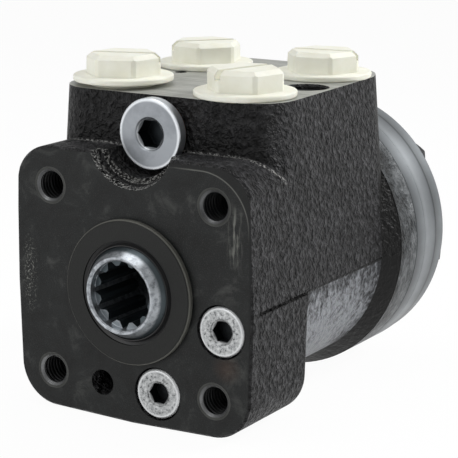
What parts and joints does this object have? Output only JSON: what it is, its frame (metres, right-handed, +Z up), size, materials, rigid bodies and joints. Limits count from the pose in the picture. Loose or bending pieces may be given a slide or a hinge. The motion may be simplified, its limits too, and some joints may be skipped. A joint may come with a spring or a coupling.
{
  "type": "orbital steering unit",
  "caption": "Orbital hydraulic steering unit with a square column flange, splined input, port block with transit plugs, rotary valve and orbiting gear set behind a round cover.",
  "frame": {"origin": "centre of the four column bolt holes, on the flat column face and the shaft axis", "axes": "+Y back along the shaft towards the end cover, +Z up to the port face, +X right when seen from the steering column"},
  "size_m": [0.0902, 0.1361, 0.112],
  "materials": {
    "painted_casting": "black paint over rough sand casting",
    "machined_steel": "turned and ground",
    "painted_disc": "satin dark grey paint on turned steel",
    "zinc_steel": "zinc plated",
    "hardened_steel": "hardened and ground",
    "black_steel": "black oxide",
    "black_rubber": "moulded",
    "seal_plastic": "filled sealing plastic",
    "copper": "soft annealed",
    "ivory_plastic": "moulded polyethylene"
  },
  "bodies": {
    "housing_set": {"housing": "painted_casting", "dust_seal": "black_rubber", "shaft_seal": "seal_plastic", "seal_energiser_ring": "black_rubber", "bearing_outer_race": "hardened_steel", "plate_o_ring": "black_rubber", "distributor_plate": "painted_disc", "gear_ring": "painted_disc", "cover_o_ring": "black_rubber", "end_cover": "painted_disc", "cover_screws": "black_steel", "pin_screw": "black_steel", "screw_washers": "zinc_steel", "relief_plug": "zinc_steel", "relief_plug_seal": "copper", "relief_spring": "machined_steel", "relief_seat": "machined_steel", "shock_plug_lower": "zinc_steel", "shock_plug_right": "zinc_steel", "shock_spring_lower": "machined_steel", "shock_spring_right": "machined_steel", "shock_seat_lower": "machined_steel", "shock_seat_right": "machined_steel", "check_bush": "machined_steel", "suction_pins": "machined_steel", "port_plug_front_left": "ivory_plastic", "port_plug_front_right": "ivory_plastic", "port_plug_rear_left": "ivory_plastic", "port_plug_rear_right": "ivory_plastic"},
    "sleeve_set": {"sleeve": "machined_steel", "cross_pin": "hardened_steel", "spring_ring": "machined_steel", "bearing_inner_race": "hardened_steel", "flat_centring_springs": "machined_steel", "curved_centring_springs": "machined_steel"},
    "spool_set": {"spool": "hardened_steel"},
    "cage_set": {"bearing_cage": "machined_steel", "bearing_needles": "hardened_steel"},
    "orbit_set": {"rotor_spacer": "machined_steel"},
    "rotor_set": {"rotor": "machined_steel"},
    "cardan_set": {"cardan_shaft": "machined_steel"},
    "relief_poppet_set": {"relief_poppet": "hardened_steel"},
    "shock_ball_lower_set": {"shock_ball_lower": "hardened_steel"},
    "shock_ball_right_set": {"shock_ball_right": "hardened_steel"},
    "check_ball_set": {"check_ball": "hardened_steel"},
    "suction_ball_right_set": {"suction_ball_right": "hardened_steel"},
    "suction_ball_left_set": {"suction_ball_left": "hardened_steel"}
  },
  "joints": [
    {"name": "sleeve_spin", "type": "hinge", "parent": "housing_set", "child": "sleeve_set", "pos_m": [0, 0.033, 0], "axis": [0, 1, 0], "continuous": true},
    {"name": "spool_deflect", "type": "hinge", "parent": "sleeve_set", "child": "spool_set", "pos_m": [0, 0.033, 0], "axis": [0, 1, 0], "range_deg": [-9.5, 9.5], "stiffness_Nm_per_rad": 4, "deforming": ["flat_centring_springs", "curved_centring_springs"]},
    {"name": "orbit_spin", "type": "hinge", "parent": "housing_set", "child": "orbit_set", "pos_m": [0, 0.115, 0], "axis": [0, 1, 0], "continuous": true},
    {"name": "rotor_spin", "type": "hinge", "parent": "orbit_set", "child": "rotor_set", "pos_m": [0, 0.1125, -0.0032], "axis": [0, 1, 0], "continuous": true},
    {"name": "cardan_spin", "type": "hinge", "parent": "orbit_set", "child": "cardan_set", "pos_m": [0, 0.033, 0], "axis": [0, 0.9992, -0.0402], "continuous": true},
    {"name": "cage_spin", "type": "hinge", "parent": "housing_set", "child": "cage_set", "pos_m": [0, 0.01405, 0], "axis": [0, 1, 0], "continuous": true},
    {"name": "relief_poppet_lift", "type": "slide", "parent": "housing_set", "child": "relief_poppet_set", "axis": [0, -1, 0], "range_m": [0, 0.002], "stiffness_N_per_m": 8000, "deforming": ["relief_spring"]},
    {"name": "shock_ball_lower_lift", "type": "slide", "parent": "housing_set", "child": "shock_ball_lower_set", "axis": [0, -1, 0], "range_m": [0, 0.0015], "stiffness_N_per_m": 6000, "deforming": ["shock_spring_lower"]},
    {"name": "shock_ball_right_lift", "type": "slide", "parent": "housing_set", "child": "shock_ball_right_set", "axis": [0, -1, 0], "range_m": [0, 0.0015], "stiffness_N_per_m": 6000, "deforming": ["shock_spring_right"]},
    {"name": "check_ball_lift", "type": "slide", "parent": "housing_set", "child": "check_ball_set", "axis": [0, 1, 0], "range_m": [0, 0.0014]},
    {"name": "suction_ball_right_lift", "type": "slide", "parent": "housing_set", "child": "suction_ball_right_set", "axis": [0, 1, 0], "range_m": [0, 0.0015]},
    {"name": "suction_ball_left_lift", "type": "slide", "parent": "housing_set", "child": "suction_ball_left_set", "axis": [0, 1, 0], "range_m": [0, 0.0015]}
  ],
  "couplings": [
    {"joint": "orbit_spin", "follows": "sleeve_spin", "ratio": -6},
    {"joint": "rotor_spin", "follows": "sleeve_spin", "ratio": 7},
    {"joint": "cardan_spin", "follows": "sleeve_spin", "ratio": 7},
    {"joint": "cage_spin", "follows": "sleeve_spin", "ratio": 0.5}
  ]
}
